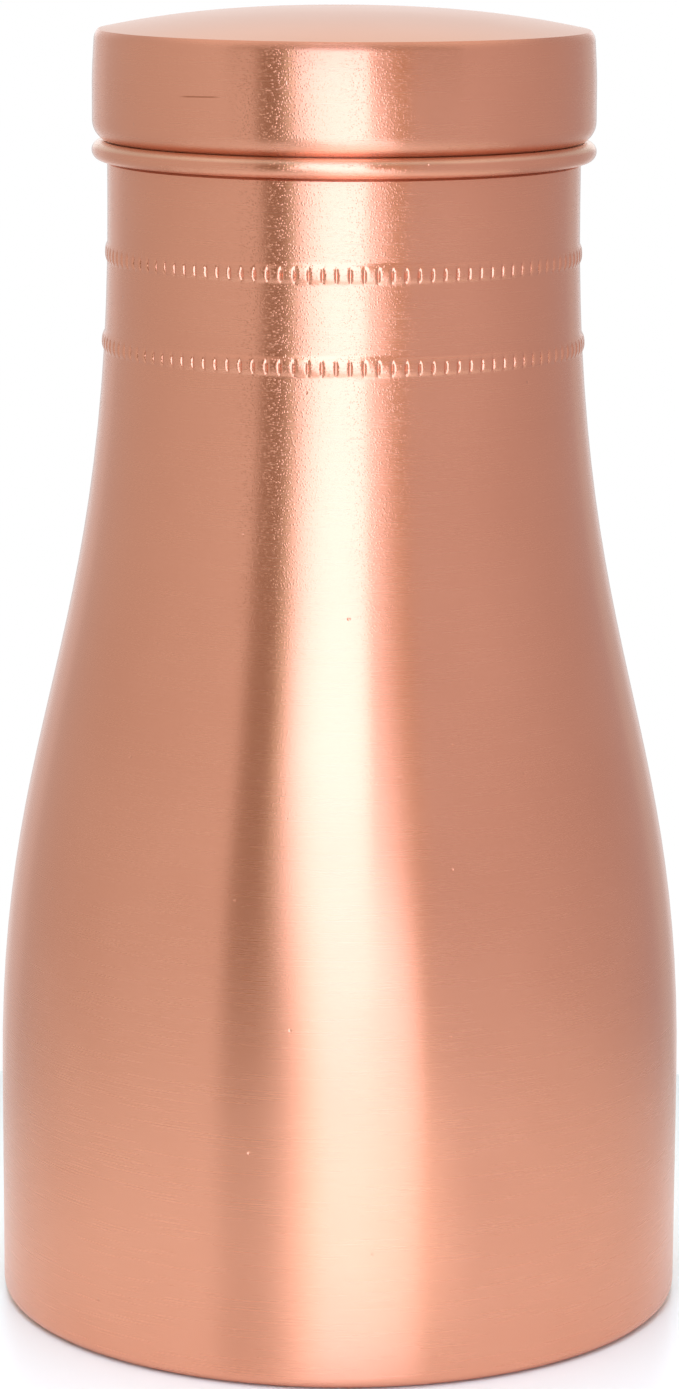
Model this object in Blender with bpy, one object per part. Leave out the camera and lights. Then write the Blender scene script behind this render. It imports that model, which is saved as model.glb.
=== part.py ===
"""Copper water bottle with a lift-off plug lid.

Five spun or drawn pieces: a body shell with a rolled rim and two raised rings round its neck, a base
plate set inside the foot, a stiffening wire inside the rolled rim, and a lid made of a domed cap
whose lower edge is turned in over the flange of a plug collar.

Frame: metres, +Z up, origin at the centre of the foot, on the surface that the bottle stands on.
Every piece is a solid of revolution about Z. An outline is a list of (radius, height) points.
"""

import math

import bmesh
import bpy

MM = 0.001
SEGMENTS = 64               # facets round every piece, so that neighbours' facets line up
FACET_DEPTH = 0.05 * MM     # how far the facets of an outline's arcs may cut inside them
SHEET = 0.6 * MM            # thickness of the copper sheet
GAP = 0.3 * MM              # space left between pieces that touch

# Body shell
BODY_RADIUS = 54.0 * MM
NECK_RADIUS = 36.6 * MM
FOOT_CORNER = 2.0 * MM      # outer radius of the rounded foot
FOOT_LIP_RADIUS = 50.0 * MM  # inner edge of the lip turned in under the base plate
SHOULDER_START = 36.4 * MM  # height where the straight wall starts to curve in
SHOULDER_END = 174.1 * MM   # height where the curve has become the straight neck
SHOULDER_PULL = 56.7 * MM   # how long the curve keeps the wall's direction at its foot
NECK_PULL = 70.4 * MM       # and the neck's direction at its top
SHOULDER_STEPS = 9

# Raised rings round the neck
RING_HEIGHTS = (153.0 * MM, 166.7 * MM)
RING_HALF = 1.25 * MM       # half the height of a ring's half-round section
RING_RISE = 0.5 * MM        # how far it stands out from the wall

# Rolled rim: a tube of sheet round a wire, tangent to the inside of the neck
ROLL_RADIUS = 1.5 * MM
ROLL_CENTRE_RADIUS = NECK_RADIUS - SHEET + ROLL_RADIUS
ROLL_CENTRE_HEIGHT = 182.35 * MM
ROLL_END_DEG = -115.0       # where the roll's edge stops, just short of the neck
WIRE_RADIUS = ROLL_RADIUS - SHEET - GAP

# Base plate: a shallow tray, upside down, whose skirt nests in the foot's corner
PLATE_HEIGHT = 4.0 * MM     # top of the plate at its edge
PLATE_RISE = 0.8 * MM       # how much higher its centre is
PLATE_CORNER = 1.2 * MM
PLATE_FOOT_DEG = -50.0      # how far its skirt follows the foot's corner round

# Lid cap
CAP_TOP = 204.2 * MM
CAP_DOME = 3.4 * MM         # rise of the dome above its edge
CAP_DOME_POWER = 2.4        # over 2 flattens the middle of the dome
CAP_TOP_RADIUS = 38.6 * MM
CAP_TOP_CORNER = 2.9 * MM
CAP_RADIUS = 38.92 * MM     # the widest, just above the lower corner
CAP_LOW_CORNER = 3.5 * MM
CAP_LOW_CENTRE = 187.28 * MM  # height of the lower corner's centre
CAP_LIP_DEG = -80.0         # where the turned-in edge stops

# Plug collar
COLLAR_RADIUS = 35.55 * MM
COLLAR_BOTTOM = 168.0 * MM
COLLAR_LEAD = 1.6 * MM      # height of the taper that leads the collar into the neck
COLLAR_TAPER = 0.4 * MM
GRIP_HEIGHT = 175.5 * MM    # raised band that grips the neck
GRIP_HALF = 1.2 * MM
GRIP_RISE = 0.2 * MM
FLANGE_START_DEG = -84.0    # the flange follows the inside of the cap's lower corner from here
FLANGE_END_DEG = -15.0      # up to here

COPPER_BRUSHED = ((0.80, 0.39, 0.25, 1.0), 0.30)
COPPER_PLAIN = ((0.76, 0.36, 0.23, 1.0), 0.40)
COPPER_WIRE = ((0.70, 0.33, 0.20, 1.0), 0.45)


def arc(centre_radius, centre_height, radius, start_deg, end_deg):
    """Points on an arc in the (radius, height) plane. 0 degrees points away from the axis."""
    sweep = math.radians(end_deg - start_deg)
    widest = 2 * math.acos(1 - FACET_DEPTH / radius)
    steps = math.ceil(abs(sweep) / widest)
    turns = [math.radians(start_deg) + sweep * i / steps for i in range(steps + 1)]
    return [(centre_radius + radius * math.cos(a), centre_height + radius * math.sin(a)) for a in turns]


def shoulder(share):
    """The wall's (radius, height) at this share of the curve from the body to the neck."""
    radii = (BODY_RADIUS, BODY_RADIUS, NECK_RADIUS, NECK_RADIUS)
    heights = (SHOULDER_START, SHOULDER_START + SHOULDER_PULL, SHOULDER_END - NECK_PULL, SHOULDER_END)
    back = 1 - share
    weights = (back**3, 3 * back**2 * share, 3 * back * share**2, share**3)
    return (
        sum(w * r for w, r in zip(weights, radii)),
        sum(w * h for w, h in zip(weights, heights)),
    )


def wall_radius(height):
    """The outer radius of the body shell's wall, without its rings."""
    if height <= SHOULDER_START:
        return BODY_RADIUS
    if height >= SHOULDER_END:
        return NECK_RADIUS
    low, high = 0.0, 1.0
    for _ in range(40):
        middle = (low + high) / 2
        if shoulder(middle)[1] < height:
            low = middle
        else:
            high = middle
    return shoulder(low)[0]


def inner_radius(height):
    """The inner radius of the wall, so that the sheet keeps its thickness on the slope."""
    step = 0.5 * MM
    slope = (wall_radius(height + step) - wall_radius(height - step)) / (2 * step)
    return wall_radius(height) - SHEET * math.hypot(1, slope)


def ring(height):
    """The half-round section of a raised ring."""
    turns = [math.radians(-90 + 45 * i) for i in range(5)]
    return [
        (wall_radius(height + RING_HALF * math.sin(a)) + RING_RISE * math.cos(a),
         height + RING_HALF * math.sin(a))
        for a in turns
    ]


def wall_heights():
    """Heights of the wall's points between the straight body and the straight neck."""
    return [shoulder(i / SHOULDER_STEPS)[1] for i in range(SHOULDER_STEPS + 1)]


def clear_of_rings(height):
    return all(abs(height - h) > 2 * RING_HALF for h in RING_HEIGHTS)


def body_outline():
    corner = BODY_RADIUS - FOOT_CORNER
    foot = [(FOOT_LIP_RADIUS, 0.0)] + arc(corner, FOOT_CORNER, FOOT_CORNER, -90, 0)
    outside = [(wall_radius(h), h) for h in wall_heights() if clear_of_rings(h)]
    for height in RING_HEIGHTS:
        outside += ring(height)
    outside.sort(key=lambda point: point[1])
    roll = arc(ROLL_CENTRE_RADIUS, ROLL_CENTRE_HEIGHT, ROLL_RADIUS - SHEET, 180, ROLL_END_DEG)
    roll += arc(ROLL_CENTRE_RADIUS, ROLL_CENTRE_HEIGHT, ROLL_RADIUS, ROLL_END_DEG, 180)
    inside = [(inner_radius(h), h) for h in reversed(wall_heights())]
    lip = arc(corner, FOOT_CORNER, FOOT_CORNER - SHEET, 0, -90) + [(FOOT_LIP_RADIUS, SHEET)]
    return foot + outside + roll + inside + lip


def wire_outline():
    return arc(ROLL_CENTRE_RADIUS, ROLL_CENTRE_HEIGHT, WIRE_RADIUS, 0, 360)[:-1]


def plate_outline():
    skirt = BODY_RADIUS - SHEET - GAP
    nest = FOOT_CORNER - SHEET - GAP
    edge = skirt - PLATE_CORNER
    top_corner = arc(edge, PLATE_HEIGHT - PLATE_CORNER, PLATE_CORNER, 90, 0)
    under_corner = arc(edge, PLATE_HEIGHT - PLATE_CORNER, PLATE_CORNER - SHEET, 0, 90)
    foot = arc(BODY_RADIUS - FOOT_CORNER, FOOT_CORNER, nest, 0, PLATE_FOOT_DEG)
    foot.append((skirt - SHEET, foot[-1][1] + SHEET))
    # The plate rises as a parabola, which has three quarters of its rise half way out.
    crown = [(0.0, PLATE_HEIGHT + PLATE_RISE), (edge / 2, PLATE_HEIGHT + 0.75 * PLATE_RISE)]
    under_crown = [(r, h - SHEET) for r, h in reversed(crown)]
    return crown + top_corner + foot + under_corner + under_crown


def cap_shell(inset):
    """The cap's outer surface, or with an inset of the sheet's thickness its inner one, from the apex."""
    corner = CAP_TOP_CORNER - inset
    edge = CAP_TOP_RADIUS - CAP_TOP_CORNER
    tilt = math.atan(CAP_DOME_POWER * CAP_DOME / edge)  # the dome's slope where the corner takes over
    reach = edge + CAP_TOP_CORNER * math.sin(tilt)
    dome = []
    for share in (0.0, 0.35, 0.65, 0.85):
        drop = CAP_DOME * share**CAP_DOME_POWER
        dome.append((reach * share, CAP_TOP - inset - drop))
    centre = CAP_TOP - CAP_DOME - CAP_TOP_CORNER * math.cos(tilt)
    upper = arc(edge, centre, corner, 90 - math.degrees(tilt), 0)
    lower = arc(CAP_RADIUS - CAP_LOW_CORNER, CAP_LOW_CENTRE, CAP_LOW_CORNER - inset, 0, CAP_LIP_DEG)
    return dome + upper + lower


def cap_outline():
    return cap_shell(0.0) + cap_shell(SHEET)[::-1]


def collar_outline():
    centre = CAP_RADIUS - CAP_LOW_CORNER
    under = CAP_LOW_CORNER - SHEET - GAP
    flange = arc(centre, CAP_LOW_CENTRE, under - SHEET, -90, FLANGE_END_DEG)
    flange += arc(centre, CAP_LOW_CENTRE, under, FLANGE_END_DEG, FLANGE_START_DEG)
    inner = COLLAR_RADIUS - SHEET
    outside = [
        (COLLAR_RADIUS, GRIP_HEIGHT + GRIP_HALF),
        (COLLAR_RADIUS + GRIP_RISE, GRIP_HEIGHT),
        (COLLAR_RADIUS, GRIP_HEIGHT - GRIP_HALF),
        (COLLAR_RADIUS, COLLAR_BOTTOM + COLLAR_LEAD),
        (COLLAR_RADIUS - COLLAR_TAPER, COLLAR_BOTTOM),
    ]
    bend = CAP_LOW_CENTRE - under  # height where the collar bends out into its flange
    inside = [
        (inner - COLLAR_TAPER, COLLAR_BOTTOM),
        (inner, COLLAR_BOTTOM + COLLAR_LEAD),
        (inner, bend),
    ]
    neck = [(COLLAR_RADIUS, bend - SHEET / 2)]
    return flange + neck + outside + inside


def material(name, look):
    colour, roughness = look
    made = bpy.data.materials.new(name)
    made.use_nodes = True
    shader = made.node_tree.nodes["Principled BSDF"]
    shader.inputs["Base Color"].default_value = colour
    shader.inputs["Metallic"].default_value = 1.0
    shader.inputs["Roughness"].default_value = roughness
    return made


def turned(name, outline, look):
    """A solid made by turning an outline about Z. An outline that starts on the axis also ends on it."""
    mesh = bmesh.new()
    points = [mesh.verts.new((r, 0.0, h)) for r, h in outline]
    edges = [mesh.edges.new(pair) for pair in zip(points, points[1:])]
    if outline[0][0] > 0:
        edges.append(mesh.edges.new((points[-1], points[0])))
    bmesh.ops.spin(
        mesh,
        geom=points + edges,
        axis=(0, 0, 1),
        cent=(0, 0, 0),
        angle=math.tau,
        steps=SEGMENTS,
        use_merge=True,
    )
    bmesh.ops.remove_doubles(mesh, verts=mesh.verts, dist=0.001 * MM)
    bmesh.ops.recalc_face_normals(mesh, faces=mesh.faces)
    data = bpy.data.meshes.new(name)
    mesh.to_mesh(data)
    mesh.free()
    data.shade_smooth()
    data.set_sharp_from_angle(angle=math.radians(50))
    data.materials.append(material(name, look))
    made = bpy.data.objects.new(name, data)
    bpy.context.scene.collection.objects.link(made)
    return made


def joint_frame(name, height):
    """An empty on the axis that the lid lifts along, as the lid's parent."""
    empty = bpy.data.objects.new(name, None)
    empty.location = (0.0, 0.0, height)
    empty.empty_display_size = 0.02
    bpy.context.scene.collection.objects.link(empty)
    return empty


def main():
    for old in list(bpy.data.objects):
        bpy.data.objects.remove(old)
    turned("body_shell", body_outline(), COPPER_BRUSHED)
    turned("base_plate", plate_outline(), COPPER_PLAIN)
    turned("rim_wire", wire_outline(), COPPER_WIRE)
    lift = joint_frame("lid_lift", ROLL_CENTRE_HEIGHT + ROLL_RADIUS)
    for name, outline, look in (
        ("lid_cap", cap_outline(), COPPER_BRUSHED),
        ("lid_collar", collar_outline(), COPPER_PLAIN),
    ):
        piece = turned(name, outline, look)
        piece.parent = lift
        piece.location = (0.0, 0.0, -lift.location.z)


main()
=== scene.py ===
"""Looks of the copper water bottle: fine turned surfaces, brushed copper, a light tent and a camera.

Metres, +Z up, the foot's centre at the origin, the front towards -Y. Every new piece is turned about Z from
an outline of (radius, height, segments) rows, where segments is how many points the row has round the bottle.
"""

import math

import bpy
import numpy as np
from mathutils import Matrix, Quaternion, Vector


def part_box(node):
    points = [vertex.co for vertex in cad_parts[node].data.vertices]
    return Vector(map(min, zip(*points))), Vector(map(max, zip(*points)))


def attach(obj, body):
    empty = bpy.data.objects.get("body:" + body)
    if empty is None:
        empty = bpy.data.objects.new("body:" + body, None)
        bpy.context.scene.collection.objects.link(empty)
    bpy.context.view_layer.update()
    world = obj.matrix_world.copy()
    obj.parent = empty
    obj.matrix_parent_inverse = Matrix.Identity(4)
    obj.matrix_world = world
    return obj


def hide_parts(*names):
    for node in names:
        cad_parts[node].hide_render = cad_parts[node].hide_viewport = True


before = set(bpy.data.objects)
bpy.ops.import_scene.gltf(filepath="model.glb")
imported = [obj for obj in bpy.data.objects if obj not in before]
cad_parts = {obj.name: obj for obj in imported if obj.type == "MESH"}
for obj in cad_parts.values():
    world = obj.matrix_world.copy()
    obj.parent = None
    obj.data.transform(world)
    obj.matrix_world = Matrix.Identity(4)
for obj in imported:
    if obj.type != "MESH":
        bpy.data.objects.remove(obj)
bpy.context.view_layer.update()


# ---------------------------------------------------------------- sizes

MM = 0.001
SHEET = 0.6 * MM            # thickness of the copper sheet
GAP = 0.3 * MM              # space between pieces that touch
BEADS = 112                 # beads round each ring
WALL = 3 * BEADS            # points round a plain row
FINE = 15 * BEADS           # points round a row of beads
SHARP_DEG = 28.0            # an edge that bends more than this shows as a crease

# Body shell, as the frame has it
BODY_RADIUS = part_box("body_shell")[1].x
BODY_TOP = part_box("body_shell")[1].z
NECK_RADIUS = 36.6 * MM
FOOT_CORNER = 2.0 * MM
FOOT_LIP_RADIUS = 50.0 * MM
SHOULDER_START = 36.4 * MM
SHOULDER_END = 174.1 * MM
SHOULDER_PULL = 56.7 * MM
NECK_PULL = 70.4 * MM
CURVE_STEPS = 400           # points kept of the shoulder's curve
SLOPE_STEP = 0.5 * MM       # the wall's slope is taken this far to either side
LOW_ROWS = (6.0 * MM, 14.0 * MM, 24.0 * MM)  # rows on the straight wall above the foot
OUTSIDE_ROWS = 26           # steps up the shoulder's outside
INSIDE_ROWS = 16            # steps down its inside

# Beaded rings round the neck
RING_HEIGHTS = (153.0 * MM, 166.7 * MM)
RIDGE_RISES = (0.12 * MM, 0.06 * MM)  # how far each ring's smooth ridge stands out from the wall
RIDGE_HALF_HEIGHT = 1.55 * MM
BEAD_RISE = 0.27 * MM       # how far a bead stands out from its ridge
BEAD_HALF_WIDTH = 0.97 * MM
BEAD_HALF_HEIGHT = 1.50 * MM
BEAD_SQUARENESS = 6.0       # 2 is a round-backed bead; more has a flatter back and steeper sides
BEAD_END_POWERS = (4, 1.5)  # the first flattens a bead's back from end to end, the second rounds its ends
GROOVE_TOP = 0.80           # the grooves between beads fade out upwards, from GROOVE_FULL to GROOVE_TOP of
GROOVE_FULL = 0.10          # a bead's half height
RING_ROWS = 16              # steps over a ring
RING_MARGIN = 0.3 * MM      # a plain row lies this far above and below them
RING_CLEARANCE = 2.2 * MM   # and other rows keep this far from a ring's middle

# Rolled rim
ROLL_RADIUS = 1.5 * MM
ROLL_CENTRE_RADIUS = NECK_RADIUS - SHEET + ROLL_RADIUS
ROLL_CENTRE_HEIGHT = BODY_TOP - ROLL_RADIUS
ROLL_END_DEG = -115.0
CREASE_DEPTH = 0.35 * MM    # the groove that runs round the neck just under the roll
CREASE_BOTTOM = ROLL_CENTRE_HEIGHT - ROLL_RADIUS - 0.50 * MM
CREASE_DEEPEST = ROLL_CENTRE_HEIGHT - ROLL_RADIUS - 0.05 * MM
CREASE_TOP = ROLL_CENTRE_HEIGHT - ROLL_RADIUS + 0.25 * MM

# Base plate
PLATE_RISE = 0.8 * MM
PLATE_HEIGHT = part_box("base_plate")[1].z - PLATE_RISE
PLATE_CORNER = 1.2 * MM
PLATE_FOOT_DEG = -50.0
PLATE_ROWS = 10             # steps over its crown

# Lid cap
CAP_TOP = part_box("lid_cap")[1].z
CAP_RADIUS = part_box("lid_cap")[1].x
CAP_DOME = 3.4 * MM
CAP_DOME_POWER = 2.4
CAP_TOP_RADIUS = 38.6 * MM
CAP_TOP_CORNER = 2.2 * MM
CAP_CORNER_END_DEG = 46.0   # the top corner ends here, in a crisp line where the dome starts
CAP_LOW_CORNER = 3.5 * MM
CAP_LOW_CENTRE = 186.97 * MM  # the low corner all but rests on the bottle's roll
CAP_BELLY_HEIGHT = 191.5 * MM  # where the side wall is widest
CAP_LIP_DEG = -80.0
DOME_ROWS = 20              # steps over the dome
BELLY_ROWS = 7              # steps down the side wall to its widest
SATIN_SLOPE = 0.7           # the dome's satin look is on faces whose normal points up at least this much

# Plug collar
COLLAR_RADIUS = 35.55 * MM
COLLAR_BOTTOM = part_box("lid_collar")[0].z
COLLAR_LEAD = 1.6 * MM
COLLAR_TAPER = 0.4 * MM
GRIP_HEIGHT = 175.5 * MM
GRIP_HALF = 1.2 * MM
GRIP_RISE = 0.2 * MM
FLANGE_CENTRE = 187.28 * MM
FLANGE_START_DEG = -84.0
FLANGE_END_DEG = -15.0


# ---------------------------------------------------------------- outlines


def shares(steps):
    """Even shares from 0 to 1, both included."""
    return [i / steps for i in range(steps + 1)]


def arc(centre_radius, centre_height, radius, start_deg, end_deg, steps):
    """Points on an arc in the (radius, height) plane. 0 degrees points away from the axis."""
    turns = [math.radians(start_deg + (end_deg - start_deg) * share) for share in shares(steps)]
    return [(centre_radius + radius * math.cos(a), centre_height + radius * math.sin(a)) for a in turns]


def shoulder(share):
    """The wall's (radius, height) at this share of the curve from the body to the neck."""
    radii = (BODY_RADIUS, BODY_RADIUS, NECK_RADIUS, NECK_RADIUS)
    heights = (SHOULDER_START, SHOULDER_START + SHOULDER_PULL, SHOULDER_END - NECK_PULL, SHOULDER_END)
    back = 1 - share
    weights = (back**3, 3 * back**2 * share, 3 * back * share**2, share**3)
    return (
        sum(w * r for w, r in zip(weights, radii)),
        sum(w * h for w, h in zip(weights, heights)),
    )


CURVE = [shoulder(share) for share in shares(CURVE_STEPS)]


def wall_radius(height):
    """The outer radius of the body shell's wall, without its rings."""
    return float(np.interp(height, [h for _, h in CURVE], [r for r, _ in CURVE]))


def inner_radius(height):
    """The wall's inner radius, a sheet's thickness in from the outer surface."""
    rise = wall_radius(height + SLOPE_STEP) - wall_radius(height - SLOPE_STEP)
    return wall_radius(height) - SHEET * math.hypot(1, rise / (2 * SLOPE_STEP))


def rows(points, segments=WALL):
    return [(r, h, segments) for r, h in points]


def body_outline():
    corner = BODY_RADIUS - FOOT_CORNER
    foot = [(FOOT_LIP_RADIUS, 0.0)] + arc(corner, FOOT_CORNER, FOOT_CORNER, -90, 0, steps=6)
    heights = [*LOW_ROWS, *[shoulder(share)[1] for share in shares(OUTSIDE_ROWS)]]
    clear = [h for h in heights if all(abs(h - ring) > RING_CLEARANCE for ring in RING_HEIGHTS)]
    wall = rows([(wall_radius(h), h) for h in clear])
    for ring in RING_HEIGHTS:
        steps = [ring + RIDGE_HALF_HEIGHT * (2 * share - 1) for share in shares(RING_ROWS)]
        wall += rows([(wall_radius(h), h) for h in steps], FINE)
        wall += rows([(wall_radius(h), h) for h in (steps[0] - RING_MARGIN, steps[-1] + RING_MARGIN)])
    wall.sort(key=lambda row: row[1])
    crease = [(CREASE_BOTTOM, 0.0), (CREASE_DEEPEST, CREASE_DEPTH), (CREASE_TOP, 0.0)]
    wall += rows([(NECK_RADIUS - depth, h) for h, depth in crease])
    # The roll starts where the wall meets it: straight up on the inside, a crease on the outside.
    roll_inside = (ROLL_CENTRE_RADIUS, ROLL_CENTRE_HEIGHT, ROLL_RADIUS - SHEET)
    roll_outside = (ROLL_CENTRE_RADIUS, ROLL_CENTRE_HEIGHT, ROLL_RADIUS)
    roll = arc(*roll_inside, 180, ROLL_END_DEG, steps=12) + arc(*roll_outside, ROLL_END_DEG, 180, steps=24)
    inside = [(inner_radius(h), h) for h in [shoulder(share)[1] for share in reversed(shares(INSIDE_ROWS))]]
    lip = arc(corner, FOOT_CORNER, FOOT_CORNER - SHEET, 0, -90, steps=4) + [(FOOT_LIP_RADIUS, SHEET)]
    return rows(foot) + wall + rows(roll + inside + lip)


def plate_outline():
    skirt = BODY_RADIUS - SHEET - GAP
    nest = FOOT_CORNER - SHEET - GAP
    edge = skirt - PLATE_CORNER
    top_corner = arc(edge, PLATE_HEIGHT - PLATE_CORNER, PLATE_CORNER, 90, 0, steps=6)
    under_corner = arc(edge, PLATE_HEIGHT - PLATE_CORNER, PLATE_CORNER - SHEET, 0, 90, steps=5)
    foot = arc(BODY_RADIUS - FOOT_CORNER, FOOT_CORNER, nest, 0, PLATE_FOOT_DEG, steps=4)
    foot.append((skirt - SHEET, foot[-1][1] + SHEET))
    crown = [(edge * s, PLATE_HEIGHT + PLATE_RISE * (1 - s * s)) for s in shares(PLATE_ROWS)[:-1]]
    under_crown = [(r, h - SHEET) for r, h in reversed(crown)]
    return rows(crown + top_corner + foot + under_corner + under_crown)


def cap_surface(inset):
    """The cap's outer surface, or with an inset of the sheet's thickness its inner one, from the apex."""
    corner = CAP_TOP_CORNER - inset
    edge = CAP_TOP_RADIUS - CAP_TOP_CORNER
    turn = math.radians(CAP_CORNER_END_DEG)
    reach = edge + CAP_TOP_CORNER * math.cos(turn)
    dome_top = CAP_TOP - inset
    dome = [(reach * s, dome_top - CAP_DOME * s**CAP_DOME_POWER) for s in shares(DOME_ROWS)[:-1]]
    centre = CAP_TOP - CAP_DOME - CAP_TOP_CORNER * math.sin(turn)
    upper = arc(edge, centre, corner, CAP_CORNER_END_DEG, 0, steps=8)
    # The side wall bellies out from the top corner to its widest, then runs straight to the low corner.
    start = upper[-1][1]
    belly = []
    for share in shares(BELLY_ROWS)[1:-1]:
        swell = (CAP_RADIUS - CAP_TOP_RADIUS) * math.sin(share * math.pi / 2)
        belly.append((CAP_TOP_RADIUS - inset + swell, start + (CAP_BELLY_HEIGHT - start) * share))
    low_edge = CAP_RADIUS - CAP_LOW_CORNER
    lower = arc(low_edge, CAP_LOW_CENTRE, CAP_LOW_CORNER - inset, 0, CAP_LIP_DEG, steps=10)
    return dome + upper + belly + lower


def cap_outline():
    return rows(cap_surface(0.0) + cap_surface(SHEET)[::-1])


def collar_outline():
    centre = CAP_RADIUS - CAP_LOW_CORNER
    under = CAP_LOW_CORNER - SHEET - GAP
    flange = arc(centre, FLANGE_CENTRE, under - SHEET, -90, FLANGE_END_DEG, steps=8)
    flange += arc(centre, FLANGE_CENTRE, under, FLANGE_END_DEG, FLANGE_START_DEG, steps=8)
    inner = COLLAR_RADIUS - SHEET
    grip = [
        (COLLAR_RADIUS + GRIP_RISE * math.cos(math.radians(a)) ** 2, GRIP_HEIGHT + GRIP_HALF * a / 90)
        for a in range(90, -91, -15)
    ]
    lead = [(COLLAR_RADIUS, COLLAR_BOTTOM + COLLAR_LEAD), (COLLAR_RADIUS - COLLAR_TAPER, COLLAR_BOTTOM)]
    bend = FLANGE_CENTRE - under
    inside = [(inner - COLLAR_TAPER, COLLAR_BOTTOM), (inner, COLLAR_BOTTOM + COLLAR_LEAD), (inner, bend)]
    return rows(flange + [(COLLAR_RADIUS, bend - SHEET / 2)] + grip + lead + inside)


# ---------------------------------------------------------------- meshes


def added(name, data):
    """A new object in the scene, from a mesh, a lamp's data or a camera's data."""
    made = bpy.data.objects.new(name, data)
    bpy.context.scene.collection.objects.link(made)
    return made


def bead_relief(angle, height):
    """How far the body's surface stands out from its wall at these points."""
    pitch = math.tau / BEADS
    across = (np.mod(angle + pitch / 2, pitch) - pitch / 2) * NECK_RADIUS
    reach = np.minimum(np.abs(across) / BEAD_HALF_WIDTH, 1.0)
    flat, ends = BEAD_END_POWERS
    relief = np.zeros_like(across)
    for ring, rise in zip(RING_HEIGHTS, RIDGE_RISES):
        up = (height - ring) / BEAD_HALF_HEIGHT
        depth = np.clip((GROOVE_TOP - up) / (GROOVE_TOP - GROOVE_FULL), 0.0, 1.0)
        bead = np.maximum(1 - up**flat, 0.0) ** ends
        relief += BEAD_RISE * bead * (1 - depth * reach**BEAD_SQUARENESS)
        share = np.minimum(np.abs(height - ring) / RIDGE_HALF_HEIGHT, 1.0)
        relief += rise * (1 - share**2) ** 2
    return relief


def span(ring, index, count):
    """The points of a ring that bound its part of face number index out of count."""
    if len(ring) == 1:
        return [int(ring[0])]
    step = len(ring) // count
    return [int(ring[(index * step + k) % len(ring)]) for k in range(step + 1)]


def turned(name, outline, relief=None):
    """An object made by turning a closed outline of (radius, height, segments) rows about Z.

    A row on the axis is one point. Between rows of unequal segments, each face spans one segment of the
    coarse row and several of the fine one.
    """
    # The faces point outwards when the outline runs with the solid on its left.
    following = outline[1:] + outline[:1]
    if sum(here[0] * then[1] - then[0] * here[1] for here, then in zip(outline, following)) < 0:
        outline = outline[::-1]
    points = []
    rings = []
    for radius, height, segments in outline:
        if radius == 0:
            rings.append(np.array([len(points)]))
            points.append((0.0, 0.0, height))
            continue
        angle = np.arange(segments) * (math.tau / segments)
        reach = np.full(segments, radius)
        if relief and segments == FINE:
            reach = reach + relief(angle, np.full(segments, height))
        rings.append(len(points) + np.arange(segments))
        points += zip(reach * np.cos(angle), reach * np.sin(angle), np.full(segments, height))
    pairs = list(zip(rings, rings[1:]))
    if outline[0][0] > 0:
        pairs.append((rings[-1], rings[0]))
    faces = []
    for below, above in pairs:
        count = min(n for n in (len(below), len(above)) if n > 1)
        for i in range(count):
            faces.append(span(below, i, count) + span(above, i, count)[::-1])
    mesh = bpy.data.meshes.new(name)
    mesh.from_pydata(points, [], faces)
    mesh.validate()
    mesh.shade_smooth()
    mesh.set_sharp_from_angle(angle=math.radians(SHARP_DEG))
    return added(name, mesh)


# ---------------------------------------------------------------- materials

# Brushing lines run round the axis. They are noise about this long and wide.
LINE_LENGTH = 14.0 * MM
LINE_WIDTH = 0.25 * MM
LINE_RANGE = (0.3, 0.7)     # the range of that noise over which roughness changes
ROUGHNESS_SWING = 0.006     # and how much it changes to either side
PATCH_SCALE = 45.0          # slow changes of tone, in noise cells a metre
PATCH_DETAIL = 3.0
TONE_SHARES = (0.25, 0.75)  # how much of the tone the lines and the patches make
TONE_RANGE = (0.35, 0.65)   # from the dark tone to the light one
WAVE_SCALE = 70.0           # slow waves of the surface
WAVE_DEPTH = 0.05 * MM

# Grain: fine dots, coarse on the lid and neck and fainter down the body
GRAIN_SPACING = 0.38 * MM
GRAIN_DOT = (0.05, 0.42)    # a dot is full up to the first share of the spacing and gone at the second
GRAIN_FINE_BELOW = 0.105
GRAIN_COARSE_ABOVE = 0.150
GRAIN_FINE_SHARE = 0.25

# Small marks, and a painted glow where the lid meets the rim
FULL_SHARE = 0.6            # the painted glow and the scratch's length are full up to this share of their reach
GROOVE_GLOW_HEIGHT = BODY_TOP - 0.2 * MM  # where the groove between the lid and the rim is painted lighter: a painted glow of light bouncing in it
GROOVE_GLOW_HALF = 0.8 * MM
GROOVE_GLOW_COLOUR = (0.87, 0.49, 0.33, 1)
PIT_SPACING = 7.0 * MM      # small dents, about this far apart in space, so few lie on a surface
PIT_RADIUS = 0.30 * MM
PIT_BOTTOM = 0.3            # a dent's bottom is flat up to this share of its radius
PIT_DEPTH = 0.07 * MM
SCRATCH_CENTRE = (-21.3 * MM, 192.4 * MM)  # a short scratch on the front of the lid, as (x, z)
SCRATCH_HALF_LENGTH = 3.2 * MM
SCRATCH_HALF_WIDTH = 0.16 * MM
SCRATCH_SLOPE = 0.03
SCRATCH_COLOUR = (0.42, 0.14, 0.07, 1)


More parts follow.
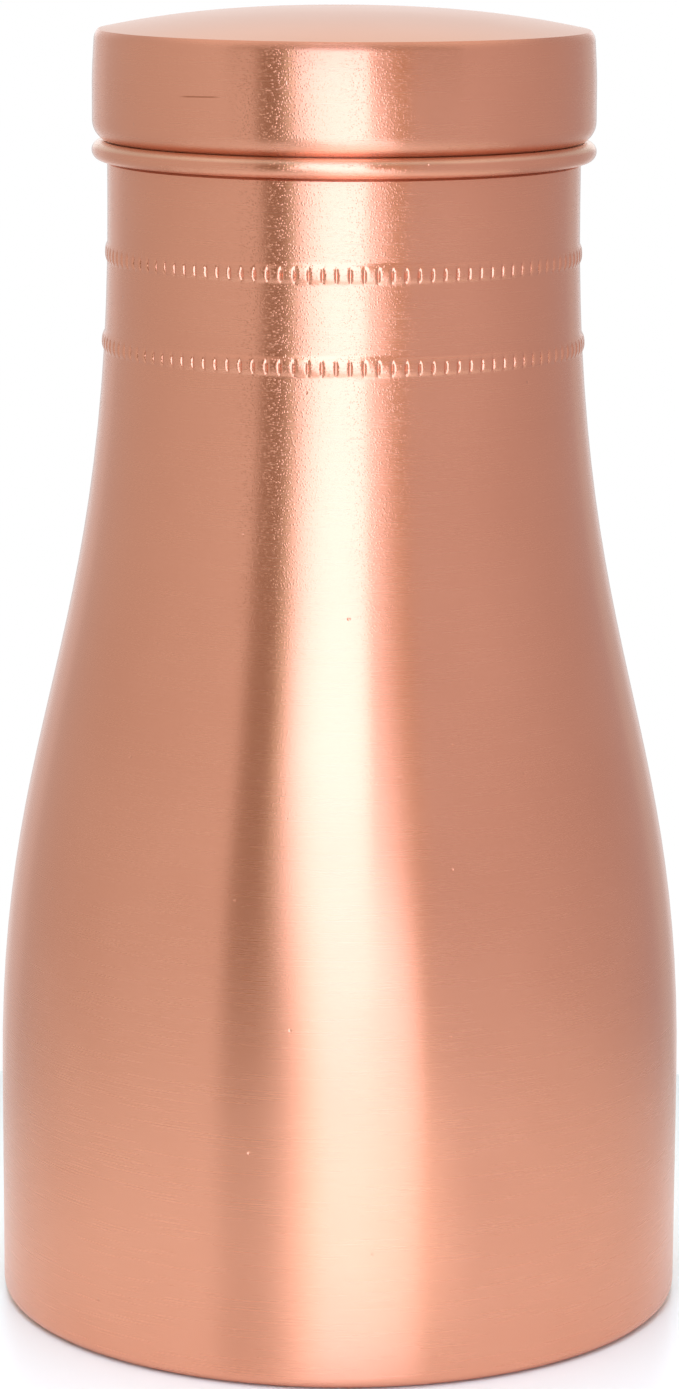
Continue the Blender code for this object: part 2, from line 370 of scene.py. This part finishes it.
class Nodes:
    """A small helper that adds nodes to a tree and links their inputs."""

    def __init__(self, tree):
        self.tree = tree

    def add(self, kind, inputs=None, **settings):
        node = self.tree.nodes.new(kind)
        for key, value in settings.items():
            setattr(node, key, value)
        for key, value in (inputs or {}).items():
            if isinstance(value, bpy.types.NodeSocket):
                self.tree.links.new(value, node.inputs[key])
            else:
                node.inputs[key].default_value = value
        return node

    def math(self, operation, *values):
        return self.add("ShaderNodeMath", dict(enumerate(values)), operation=operation).outputs[0]

    def vector(self, operation, first, second, output="Vector"):
        node = self.add("ShaderNodeVectorMath", {0: first, 1: second}, operation=operation)
        return node.outputs[output]

    def scaled(self, vector, factor):
        inputs = {0: vector, "Scale": factor}
        return self.add("ShaderNodeVectorMath", inputs, operation="SCALE").outputs["Vector"]

    def spread(self, value, low, high, to_low, to_high):
        """A value mapped from the range low to high onto to_low to to_high, and held at its ends."""
        names = ("Value", "From Min", "From Max", "To Min", "To Max")
        inputs = dict(zip(names, (value, low, high, to_low, to_high)))
        return self.add("ShaderNodeMapRange", inputs).outputs["Result"]

    def noise(self, place, scale, detail):
        inputs = {"Vector": place, "Scale": scale, "Detail": detail}
        return self.add("ShaderNodeTexNoise", inputs).outputs["Fac"]

    def scatter(self, place, spacing):
        """How far a place is from the nearest of some scattered points, as a share of their spacing."""
        inputs = {"Vector": place, "Scale": 1 / spacing}
        return self.add("ShaderNodeTexVoronoi", inputs).outputs["Distance"]

    def off(self, value, middle):
        """How far a value is from this one."""
        return self.math("ABSOLUTE", self.math("SUBTRACT", value, middle))

    def blend(self, share, first, second):
        """The first colour where share is 0, the second where it is 1."""
        inputs = {"Factor": share, 6: first, 7: second}
        return self.add("ShaderNodeMix", inputs, data_type="RGBA").outputs[2]


def material(name):
    """A new material with nodes, and its node tree."""
    made = bpy.data.materials.new(name)
    made.use_nodes = True
    return made, made.node_tree


def scratch(n, parts):
    """How much of the scratch there is at a place, from its x, y and z."""
    along = n.math("SUBTRACT", parts["X"], SCRATCH_CENTRE[0])
    line = n.math("ADD", n.math("MULTIPLY", along, SCRATCH_SLOPE), SCRATCH_CENTRE[1])
    deep = n.spread(n.off(parts["Z"], line), 0.0, SCRATCH_HALF_WIDTH, 1.0, 0.0)
    length = (SCRATCH_HALF_LENGTH * FULL_SHARE, SCRATCH_HALF_LENGTH)
    ends = n.spread(n.math("ABSOLUTE", along), *length, 1.0, 0.0)
    front = n.math("LESS_THAN", parts["Y"], 0.0)
    return n.math("MULTIPLY", n.math("MULTIPLY", deep, ends), front)


def copper(name, light, dark, roughness, anisotropy, line_depth, grain_depth):
    """Copper brushed round the bottle: fine lines round its axis, fine dots, a few pits, small marks and a
    painted glow where the lid meets the rim.
    """
    made, tree = material(name)
    shader = tree.nodes["Principled BSDF"]
    n = Nodes(tree)
    place = n.add("ShaderNodeTexCoord").outputs["Object"]
    parts = n.add("ShaderNodeSeparateXYZ", {"Vector": place}).outputs
    flat = n.vector("MULTIPLY", place, (1, 1, 0))
    radius = n.vector("LENGTH", flat, (0, 0, 0), "Value")
    # This grows up a wall and inwards over a top, so places of equal value lie on circles round the axis.
    along = n.math("SUBTRACT", parts["Z"], radius)
    stretched = {
        "Vector": n.scaled(flat, 1 / LINE_LENGTH),
        "W": n.math("MULTIPLY", along, 1 / LINE_WIDTH),
        "Scale": 1.0,
        "Detail": 1.0,
    }
    lines = n.add("ShaderNodeTexNoise", stretched, noise_dimensions="4D").outputs["Fac"]

    # Colour
    patches = n.noise(place, PATCH_SCALE, PATCH_DETAIL)
    line_tone = n.math("MULTIPLY", lines, TONE_SHARES[0])
    shade = n.math("ADD", line_tone, n.math("MULTIPLY", patches, TONE_SHARES[1]))
    tone = n.blend(n.spread(shade, *TONE_RANGE, 0.0, 1.0), dark, light)
    # A band round the groove under the lid is painted lighter and more orange: a painted glow standing in for
    # light bouncing between the lid and the rim.
    groove_glow = n.spread(n.off(parts["Z"], GROOVE_GLOW_HEIGHT), GROOVE_GLOW_HALF * FULL_SHARE, GROOVE_GLOW_HALF, 1.0, 0.0)
    glow_painted = n.blend(groove_glow, tone, GROOVE_GLOW_COLOUR)
    tree.links.new(n.blend(scratch(n, parts), glow_painted, SCRATCH_COLOUR), shader.inputs["Base Color"])

    # Relief
    height = n.math("MULTIPLY", lines, line_depth)
    coarse = n.spread(parts["Z"], GRAIN_FINE_BELOW, GRAIN_COARSE_ABOVE, GRAIN_FINE_SHARE, 1.0)
    dots = n.spread(n.scatter(place, GRAIN_SPACING), *GRAIN_DOT, 1.0, 0.0)
    grain = n.math("MULTIPLY", n.math("MULTIPLY", dots, coarse), grain_depth)
    height = n.math("ADD", height, grain)
    height = n.math("ADD", height, n.math("MULTIPLY", n.noise(place, WAVE_SCALE, 0.0), WAVE_DEPTH))
    pit = PIT_RADIUS / PIT_SPACING
    pits = n.spread(n.scatter(place, PIT_SPACING), PIT_BOTTOM * pit, pit, PIT_DEPTH, 0.0)
    height = n.math("SUBTRACT", height, pits)
    bump = n.add("ShaderNodeBump", {"Height": height, "Strength": 1.0, "Distance": 1.0})
    tree.links.new(bump.outputs["Normal"], shader.inputs["Normal"])

    # Shine, drawn out across the brushing
    rough = n.spread(lines, *LINE_RANGE, roughness - ROUGHNESS_SWING, roughness + ROUGHNESS_SWING)
    tree.links.new(rough, shader.inputs["Roughness"])
    tangent = n.add("ShaderNodeTangent", direction_type="RADIAL", axis="Z")
    tree.links.new(tangent.outputs["Tangent"], shader.inputs["Tangent"])
    shader.inputs["Metallic"].default_value = 1.0
    shader.inputs["Anisotropic"].default_value = anisotropy
    shader.inputs["Anisotropic Rotation"].default_value = 0.25
    return made


BRUSHED = copper(
    "brushed_copper",
    light=(0.82, 0.365, 0.235, 1),
    dark=(0.79, 0.345, 0.22, 1),
    roughness=0.27,
    anisotropy=1.0,
    line_depth=0.0010 * MM,
    grain_depth=0.0175 * MM,
)
SATIN = copper(
    "satin_copper",
    light=(0.73, 0.33, 0.195, 1),
    dark=(0.71, 0.315, 0.18, 1),
    roughness=0.26,
    anisotropy=0.12,
    line_depth=0.0005 * MM,
    grain_depth=0.001 * MM,
)
PLAIN = copper(
    "plain_copper",
    light=(0.82, 0.365, 0.235, 1),
    dark=(0.77, 0.33, 0.205, 1),
    roughness=0.38,
    anisotropy=0.7,
    line_depth=0.003 * MM,
    grain_depth=0.003 * MM,
)
WIRE = copper(
    "wire_copper",
    light=(0.81, 0.36, 0.23, 1),
    dark=(0.73, 0.30, 0.18, 1),
    roughness=0.45,
    anisotropy=0.3,
    line_depth=0.002 * MM,
    grain_depth=0.003 * MM,
)


# ---------------------------------------------------------------- pieces


def piece(name, outline, node, body, look, relief=None):
    """A turned piece that takes the place of a node and moves with its body."""
    made = turned(name, outline, relief)
    made.data.materials.append(look)
    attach(made, body)
    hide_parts(node)
    return made


piece("bottle_shell", body_outline(), "body_shell", "bottle", BRUSHED, bead_relief)
piece("bottle_base", plate_outline(), "base_plate", "bottle", PLAIN)
cap = piece("cap_shell", cap_outline(), "lid_cap", "lid", BRUSHED)
cap.data.materials.append(SATIN)
for face in cap.data.polygons:
    if face.center.z > CAP_BELLY_HEIGHT and face.normal.z > SATIN_SLOPE:
        face.material_index = 1
piece("plug_collar", collar_outline(), "lid_collar", "lid", PLAIN)

rim_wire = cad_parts["rim_wire"]
rim_wire.data.materials.clear()
rim_wire.data.materials.append(WIRE)


# ---------------------------------------------------------------- light, floor and camera

# The tent all round, as (azimuth in degrees, brightness, tint). 0 is in front of the bottle, towards the
# camera, and 90 is to its right as the camera sees it. Its dark gap is the dark line down the bottle.
WARM = (1.20, 0.90, 0.62)
PLAIN_WHITE = (1.00, 1.00, 1.00)
PINK = (1.00, 0.95, 1.00)
COOL = (0.93, 1.00, 1.03)
TENT = (
    (-180, 1.22, COOL),
    (-165, 1.16, COOL),
    (-157, 0.74, PLAIN_WHITE),
    (-143, 0.72, PLAIN_WHITE),
    (-138, 0.63, PLAIN_WHITE),
    (-60, 0.76, PLAIN_WHITE),
    (-42, 0.80, PLAIN_WHITE),
    (-38, 0.25, WARM),
    (-22, 0.25, WARM),
    (-14, 0.50, WARM),
    (16, 0.54, WARM),
    (25, 0.57, WARM),
    (33, 0.70, PINK),
    (60, 0.71, PINK),
    (138, 0.56, PINK),
    (143, 0.62, PLAIN_WHITE),
    (157, 0.62, PLAIN_WHITE),
    (165, 1.12, COOL),
    (180, 1.22, COOL),
)
# Straight behind, the tent is darker under the horizon and far above it. Heights, here and for what is
# overhead, are those of a direction of length 1.
BACK_RANGE = (0.93, 0.985)  # the shares of a direction that point back where that starts and is complete
BACK_LOW = 0.60             # how bright it stays under the horizon, and the heights between which that fades
BACK_LOW_RANGE = (-0.03, 0.01)
BACK_HIGH = 0.50            # and the same far above it
BACK_HIGH_RANGE = (0.10, 0.40)
OVERHEAD = 1.0              # brightness overhead
OVERHEAD_RANGE = (0.55, 0.80)
WHITE = (1, 1, 1, 1)        # what the camera itself sees all round

# The key panel, just in front of the bottle, leans to the left and is brighter as it goes up, as rows of
# (height, left edge, right edge, brightness). It glows fully a soft edge's width inside its edges, and not
# at all that far outside them.
KEY_DISTANCE = 0.30
KEY_TINT = (0.72, 0.885, 1.27, 1)
KEY_EDGE_TINT = (0.72, 0.95, 0.88, 1)
KEY_EDGE_SHARE = 0.5        # its glow has the edge's tint up to this share of the full glow
KEY_ROWS = (
    (0.00, -0.035, 0.152, 2.5),
    (0.08, -0.072, 0.118, 2.5),
    (0.15, -0.103, 0.080, 2.5),
    (0.18, -0.133, 0.055, 3.0),
    (0.35, -0.118, 0.056, 3.2),
    (0.70, -0.132, 0.053, 3.4),
)
KEY_SOFT_LEFT = 0.024
KEY_SOFT_RIGHT = 0.006

# A small grey card just in front of the lid's top, as its distance and its corners' (x, z)
CARD_DISTANCE = 0.059
CARD_CORNERS = ((-0.055, 0.2065), (0.055, 0.2065), (0.055, 0.236), (-0.055, 0.236))
CARD_COLOUR = (0.62, 0.60, 0.57, 1)
CARD_ROUGHNESS = 0.9

# Lamps overhead, with their powers in watts
FLOOR_LAMP_POWER = 5.0
FLOOR_LAMP_SIZE = 1.0
FLOOR_LAMP_HEIGHT = 1.2
POOL_POWER = 33.0
POOL_PLACE = (0.018, -0.13, 1.0)
POOL_CONE_DEG = 7.0
POOL_BLEND = 0.6            # the outer share of its cone that fades
POOL_LAMP_RADIUS = 0.01

FLOOR_RADIUS = 0.29
FLOOR_FORWARD = 0.16        # how far the floor's centre is in front of the bottle
FLOOR_HEIGHT = -0.05 * MM   # just under the foot, so the two don't share a plane
FLOOR_CORNERS = 96
FLOOR_TINT = (0.95, 1.02, 1.01)
FLOOR_ROUGHNESS = 0.3
FLOOR_SPECULAR = 1.0
# The floor is painted whiter round the bottle and greyer further out, a painted pool of light: the first
# white up to the first radius from this centre, and the second white from the second radius on.
FLOOR_POOL_CENTRE = (0.01, -0.04, 0.0)
FLOOR_POOL_RADII = (0.10, 0.17)
FLOOR_POOL_WHITES = (0.95, 0.70)

CAMERA_DISTANCE = 0.7164
CAMERA_HEIGHT = 0.2365
CAMERA_SIDE = -0.0003
CAMERA_PITCH_DEG = 11.06
CAMERA_ROLL_DEG = 0.28
CAMERA_LENS = 119.6
CAMERA_SENSOR = 36.0
CAMERA_CLIP = 0.01


def light_tent():
    """The world: a tent of light that the copper mirrors. The camera itself sees plain white."""
    world = bpy.data.worlds.new("light_tent")
    bpy.context.scene.world = world
    world.use_nodes = True
    tree = world.node_tree
    n = Nodes(tree)
    direction = n.add("ShaderNodeTexCoord").outputs["Generated"]
    parts = n.add("ShaderNodeSeparateXYZ", {"Vector": direction}).outputs
    azimuth = n.math("ARCTAN2", parts["X"], n.math("MULTIPLY", parts["Y"], -1.0))
    turn = n.math("ADD", n.math("DIVIDE", azimuth, math.tau), 0.5)
    ramp = n.add("ShaderNodeValToRGB", {"Fac": turn})
    stops = ramp.color_ramp.elements
    while len(stops) < len(TENT):
        stops.new(0.5)
    # The ramp's colours stay below 1, and are scaled back up after it.
    brightest = max(brightness * max(tint) for _, brightness, tint in TENT)
    for stop, (degrees, brightness, tint) in zip(stops, TENT):
        stop.position = degrees / 360 + 0.5
        stop.color = (*[brightness * share / brightest for share in tint], 1)
    around = n.scaled(ramp.outputs["Color"], brightest)
    low = n.spread(parts["Z"], *BACK_LOW_RANGE, BACK_LOW, 1.0)
    high = n.spread(parts["Z"], *BACK_HIGH_RANGE, 1.0, BACK_HIGH)
    back = n.spread(parts["Y"], *BACK_RANGE, 0.0, 1.0)
    fall = n.math("MULTIPLY", back, n.math("SUBTRACT", n.math("MULTIPLY", low, high), 1.0))
    around = n.scaled(around, n.math("ADD", fall, 1.0))
    up = n.spread(parts["Z"], *OVERHEAD_RANGE, 0.0, 1.0)
    mirrored = n.blend(up, around, (OVERHEAD, OVERHEAD, OVERHEAD, 1))
    seen = n.add("ShaderNodeLightPath").outputs["Is Camera Ray"]
    background = tree.nodes["Background"]
    tree.links.new(n.blend(seen, mirrored, WHITE), background.inputs["Color"])
    background.inputs["Strength"].default_value = 1.0


def key_panel():
    """A soft-edged glowing panel that the camera doesn't see."""
    points = []
    glow = []
    for height, left, right, brightness in KEY_ROWS:
        across = (
            left - KEY_SOFT_LEFT,
            left + KEY_SOFT_LEFT,
            right - KEY_SOFT_RIGHT,
            right + KEY_SOFT_RIGHT,
        )
        points += [(x, -KEY_DISTANCE, height) for x in across]
        glow += [0.0, brightness, brightness, 0.0]
    core = [0.0, 1.0, 1.0, 0.0] * len(KEY_ROWS)
    columns = 4
    faces = []
    for row in range(len(KEY_ROWS) - 1):
        for first in range(row * columns, (row + 1) * columns - 1):
            faces.append((first, first + 1, first + columns + 1, first + columns))
    mesh = bpy.data.meshes.new("key_panel")
    mesh.from_pydata(points, [], faces)
    for name, values in (("glow", glow), ("core", core)):
        mesh.attributes.new(name, "FLOAT", "POINT").data.foreach_set("value", values)
    made = added("key_panel", mesh)
    made.visible_camera = False
    made.visible_shadow = False
    look, tree = material("key_glow")
    tree.nodes.clear()
    n = Nodes(tree)
    strength = n.add("ShaderNodeAttribute", attribute_name="glow").outputs["Fac"]
    inside = n.add("ShaderNodeAttribute", attribute_name="core").outputs["Fac"]
    tint = n.blend(n.spread(inside, KEY_EDGE_SHARE, 1.0, 0.0, 1.0), KEY_EDGE_TINT, KEY_TINT)
    light = n.add("ShaderNodeEmission", {"Color": tint, "Strength": strength}).outputs[0]
    clear = n.add("ShaderNodeBsdfTransparent").outputs[0]
    both = n.add("ShaderNodeAddShader", {0: light, 1: clear}).outputs[0]
    n.add("ShaderNodeOutputMaterial", {"Surface": both})
    mesh.materials.append(look)


def pool_lamp():
    """A lamp overhead that only lights the floor in front of the bottle, for its lower wall to mirror."""
    data = bpy.data.lights.new("pool_lamp", "SPOT")
    data.energy = POOL_POWER
    data.spot_size = math.radians(POOL_CONE_DEG)
    data.spot_blend = POOL_BLEND
    data.shadow_soft_size = POOL_LAMP_RADIUS
    made = added("pool_lamp", data)
    made.location = POOL_PLACE


def floor_lamp():
    """A soft lamp overhead that whitens the floor. The copper doesn't mirror it."""
    data = bpy.data.lights.new("floor_lamp", "AREA")
    data.energy = FLOOR_LAMP_POWER
    data.shape = "DISK"
    data.size = FLOOR_LAMP_SIZE
    made = added("floor_lamp", data)
    made.location = (0, 0, FLOOR_LAMP_HEIGHT)
    made.visible_camera = False
    made.visible_glossy = False


def lid_card():
    """A small grey card just in front of the lid's top, which hides the key panel from the dome.

    The camera doesn't see it. Without it the dome looks burnt out from behind.
    """
    mesh = bpy.data.meshes.new("lid_card")
    corners = [(x, -CARD_DISTANCE, z) for x, z in CARD_CORNERS]
    mesh.from_pydata(corners, [], [range(len(corners))])
    made = added("lid_card", mesh)
    made.visible_camera = False
    look, tree = material("card_grey")
    shader = tree.nodes["Principled BSDF"]
    shader.inputs["Base Color"].default_value = CARD_COLOUR
    shader.inputs["Roughness"].default_value = CARD_ROUGHNESS
    mesh.materials.append(look)


def floor():
    """A plain pale floor, a disc with a soft sheen, painted whiter round the bottle: a painted pool of light.
    """
    turns = [math.tau * i / FLOOR_CORNERS for i in range(FLOOR_CORNERS)]
    corners = [
        (FLOOR_RADIUS * math.cos(a), FLOOR_RADIUS * math.sin(a) - FLOOR_FORWARD, FLOOR_HEIGHT)
        for a in turns
    ]
    mesh = bpy.data.meshes.new("floor")
    mesh.from_pydata(corners, [], [range(len(corners))])
    made = added("floor", mesh)
    look, tree = material("floor_white")
    n = Nodes(tree)
    place = n.add("ShaderNodeTexCoord").outputs["Object"]
    reach = n.vector("DISTANCE", place, FLOOR_POOL_CENTRE, "Value")
    # Painted pool of light: the floor's colour is whiter near the bottle and greyer further out.
    white = n.spread(reach, *FLOOR_POOL_RADII, *FLOOR_POOL_WHITES)
    shader = tree.nodes["Principled BSDF"]
    tree.links.new(n.scaled(FLOOR_TINT, white), shader.inputs["Base Color"])
    shader.inputs["Roughness"].default_value = FLOOR_ROUGHNESS
    shader.inputs["Specular IOR Level"].default_value = FLOOR_SPECULAR
    mesh.materials.append(look)


def camera():
    """The photo's camera."""
    data = bpy.data.cameras.new("camera")
    data.lens = CAMERA_LENS
    data.sensor_width = CAMERA_SENSOR
    data.clip_start = CAMERA_CLIP
    made = added("camera", data)
    made.location = (CAMERA_SIDE, -CAMERA_DISTANCE, CAMERA_HEIGHT)
    made.rotation_mode = "QUATERNION"
    pitch = Quaternion((1, 0, 0), math.radians(90 - CAMERA_PITCH_DEG))
    made.rotation_quaternion = pitch @ Quaternion((0, 0, 1), math.radians(CAMERA_ROLL_DEG))
    bpy.context.scene.camera = made


light_tent()
key_panel()
pool_lamp()
floor_lamp()
lid_card()
floor()
camera()
bpy.context.scene.view_settings.view_transform = "Standard"
